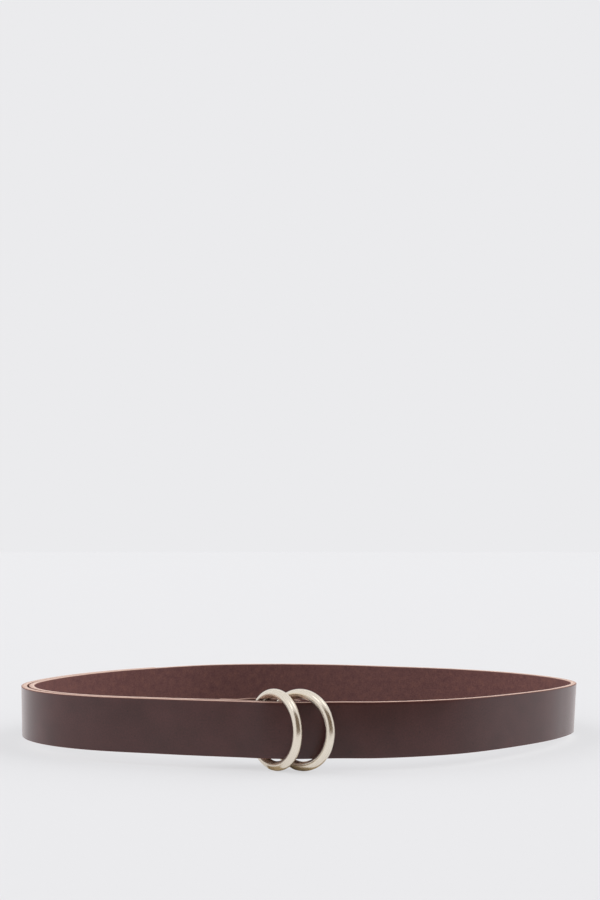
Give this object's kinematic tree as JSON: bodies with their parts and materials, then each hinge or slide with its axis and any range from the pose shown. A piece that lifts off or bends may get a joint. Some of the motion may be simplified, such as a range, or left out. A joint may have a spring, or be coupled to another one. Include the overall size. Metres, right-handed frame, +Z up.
{
  "type": "ring belt",
  "caption": "Plain leather waist belt fastened through a pair of metal rings, standing on its edge as an open loop.",
  "frame": {"origin": "middle of the footprint's box, on the surface that the belt stands on", "axes": "+Z up, -Y the side with the rings, +X to the right when the rings are in front"},
  "size_m": [0.286, 0.2248, 0.0364],
  "materials": {
    "leather": "smooth satin dark brown grain, napped reddish brown flesh side, bare tan edges",
    "ring_metal": "satin nickel plate",
    "rivet_metal": "satin nickel plate"
  },
  "bodies": {
    "root": {"strap": "leather", "ring_left": "ring_metal", "ring_right": "ring_metal", "rivet_upper": "rivet_metal", "rivet_lower": "rivet_metal"}
  },
  "joints": []
}
